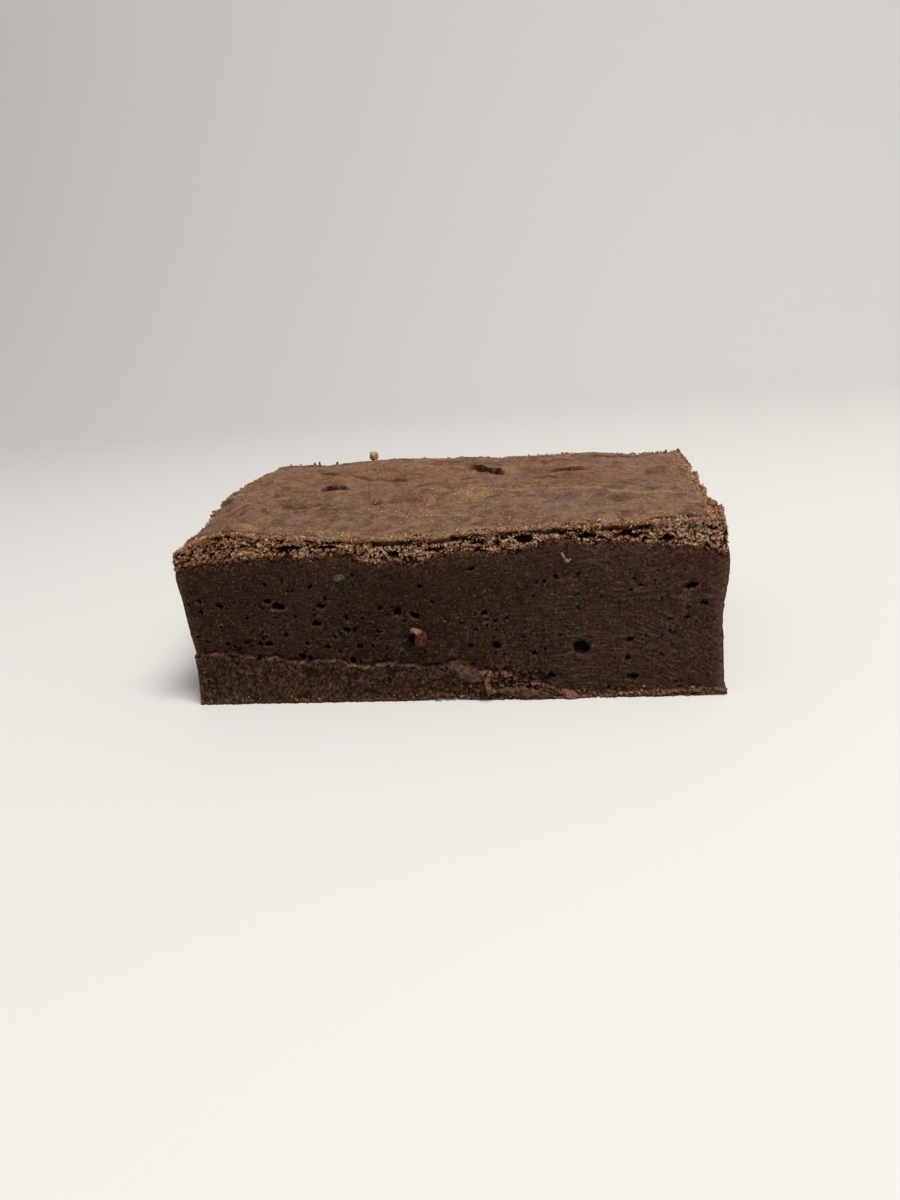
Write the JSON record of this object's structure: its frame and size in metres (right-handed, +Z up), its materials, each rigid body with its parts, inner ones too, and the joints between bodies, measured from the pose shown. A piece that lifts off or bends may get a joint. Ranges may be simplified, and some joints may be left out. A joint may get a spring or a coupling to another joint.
{
  "type": "brownie",
  "caption": "Oblong chocolate fudge brownie portion with cut sides, a crumbly crust band and a wrinkled skin on top.",
  "frame": {"origin": "middle of the flat base, on the surface that the brownie rests on", "axes": "+X along the longest cut face (left to right seen from the front), +Y from the front cut face to the back one, +Z up"},
  "size_m": [0.0925, 0.0633, 0.0337],
  "materials": {
    "chocolate_fudge": null
  },
  "bodies": {
    "root": {"brownie": "chocolate_fudge"}
  },
  "joints": []
}
